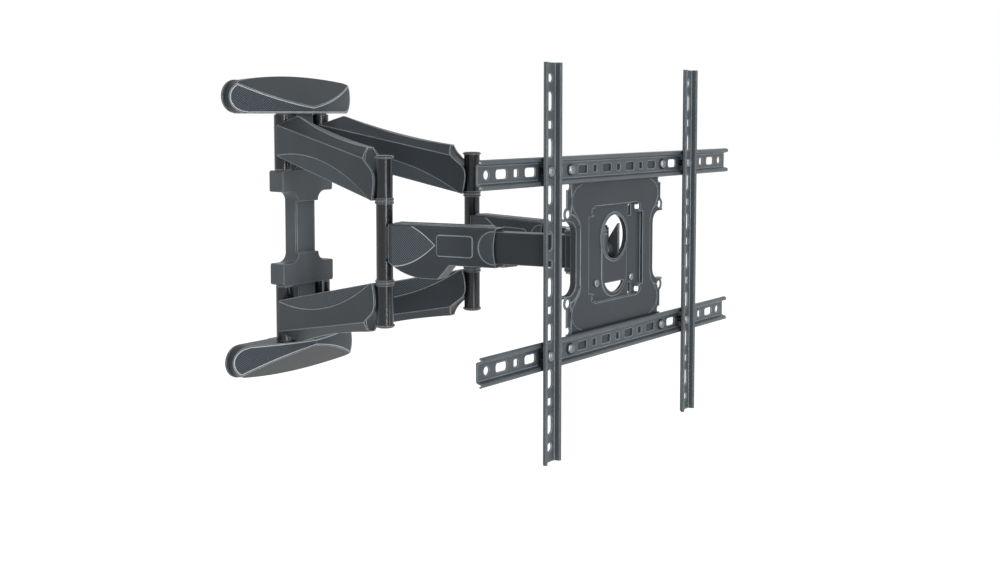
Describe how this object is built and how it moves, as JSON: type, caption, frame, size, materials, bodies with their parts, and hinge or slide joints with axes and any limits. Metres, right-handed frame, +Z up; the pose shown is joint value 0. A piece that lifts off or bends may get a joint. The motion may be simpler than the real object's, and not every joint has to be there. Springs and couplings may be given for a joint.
{
  "type": "television wall mount",
  "caption": "Full-motion television wall mount: paired arms fold flat from a wall column and carry a swivelling, tilting plate with slotted rails.",
  "frame": {"origin": "on the wall, in the middle of the four wall bolts", "axes": "X to the right seen from the front, Y into the wall, Z up"},
  "size_m": [0.53, 0.5818, 0.433],
  "materials": {
    "slate_steel": "satin slate-grey powder coat",
    "gloss_steel": "glossy dark grey paint",
    "slate_plastic": "satin slate-grey moulding with fine-grid panels",
    "bright_steel": "dark bright-plated steel",
    "black_plastic": "dark moulded bearing plastic"
  },
  "bodies": {
    "wall_side": {"wall_plate_top": "slate_steel", "wall_plate_bottom": "slate_steel", "wall_cover_top": "slate_plastic", "wall_cover_bottom": "slate_plastic", "wall_column": "slate_steel", "hinge_pins": "bright_steel"},
    "arm_left": {"hinge_tube_upper_left": "gloss_steel", "rear_shell_upper_left": "slate_plastic", "rear_bar_upper_left": "slate_steel", "hinge_tube_lower_left": "gloss_steel", "rear_shell_lower_left": "slate_plastic", "rear_bar_lower_left": "slate_steel", "hinge_bushes_left": "black_plastic", "elbow_sleeves_left": "gloss_steel", "elbow_collars_left": "black_plastic", "elbow_pin_left": "gloss_steel", "elbow_foot_left": "gloss_steel"},
    "arm_right": {"hinge_tube_upper_right": "gloss_steel", "rear_shell_upper_right": "slate_plastic", "rear_bar_upper_right": "slate_steel", "hinge_tube_lower_right": "gloss_steel", "rear_shell_lower_right": "slate_plastic", "rear_bar_lower_right": "slate_steel", "hinge_bushes_right": "black_plastic", "elbow_sleeves_right": "gloss_steel", "elbow_collars_right": "black_plastic", "elbow_pin_right": "gloss_steel", "elbow_foot_right": "gloss_steel"},
    "forearm_left": {"forearm_tube_left": "gloss_steel", "forearm_bar_left": "slate_steel", "forearm_cover_left": "slate_plastic"},
    "forearm_right": {"forearm_tube_right": "gloss_steel", "forearm_bar_right": "slate_steel", "forearm_cover_right": "slate_plastic"},
    "head": {"head_carrier": "slate_steel", "head_pins": "bright_steel", "swivel_pin": "bright_steel", "head_washers": "black_plastic"},
    "swivel": {"swivel_block": "slate_steel", "tilt_bolts": "bright_steel"},
    "screen_frame": {"tilt_bracket": "slate_steel", "centre_plate": "slate_steel", "bracket_screws": "bright_steel", "cross_rail_upper": "slate_steel", "cross_rail_lower": "slate_steel", "upright_rail_left": "slate_steel", "upright_rail_right": "slate_steel", "plate_bolts": "bright_steel", "plate_nuts": "bright_steel", "upright_bolts": "bright_steel", "upright_nuts": "bright_steel"}
  },
  "joints": [
    {"name": "left_wall_hinge", "type": "hinge", "parent": "wall_side", "child": "arm_left", "pos_m": [-0.036, -0.032, 0], "axis": [0, 0, -1], "range_deg": [-11.5, 58]},
    {"name": "right_wall_hinge", "type": "hinge", "parent": "wall_side", "child": "arm_right", "pos_m": [0.036, -0.032, 0], "axis": [0, 0, 1], "range_deg": [-11.5, 58]},
    {"name": "left_elbow", "type": "hinge", "parent": "arm_left", "child": "forearm_left", "pos_m": [-0.088, -0.27551, 0], "axis": [0, 0, 1], "range_deg": [-22.8, 115.01]},
    {"name": "right_elbow", "type": "hinge", "parent": "arm_right", "child": "forearm_right", "pos_m": [0.088, -0.27551, 0], "axis": [0, 0, -1], "range_deg": [-22.8, 115.01]},
    {"name": "head_hinge", "type": "hinge", "parent": "forearm_left", "child": "head", "pos_m": [-0.03, -0.52383, 0], "axis": [0, 0, -1], "range_deg": [-11.3, 57.01]},
    {"name": "swivel", "type": "hinge", "parent": "head", "child": "swivel", "pos_m": [0, -0.54183, 0], "axis": [0, 0, 1], "range_deg": [-20, 20]},
    {"name": "tilt", "type": "hinge", "parent": "swivel", "child": "screen_frame", "pos_m": [0, -0.54183, 0], "axis": [1, 0, 0], "range_deg": [-10, 5]}
  ],
  "couplings": [
    {"joint": "right_wall_hinge", "follows": "left_wall_hinge", "ratio": 1},
    {"joint": "left_elbow", "follows": "left_wall_hinge", "ratio": 1.983},
    {"joint": "right_elbow", "follows": "left_wall_hinge", "ratio": 1.983},
    {"joint": "head_hinge", "follows": "left_wall_hinge", "ratio": 0.983}
  ]
}
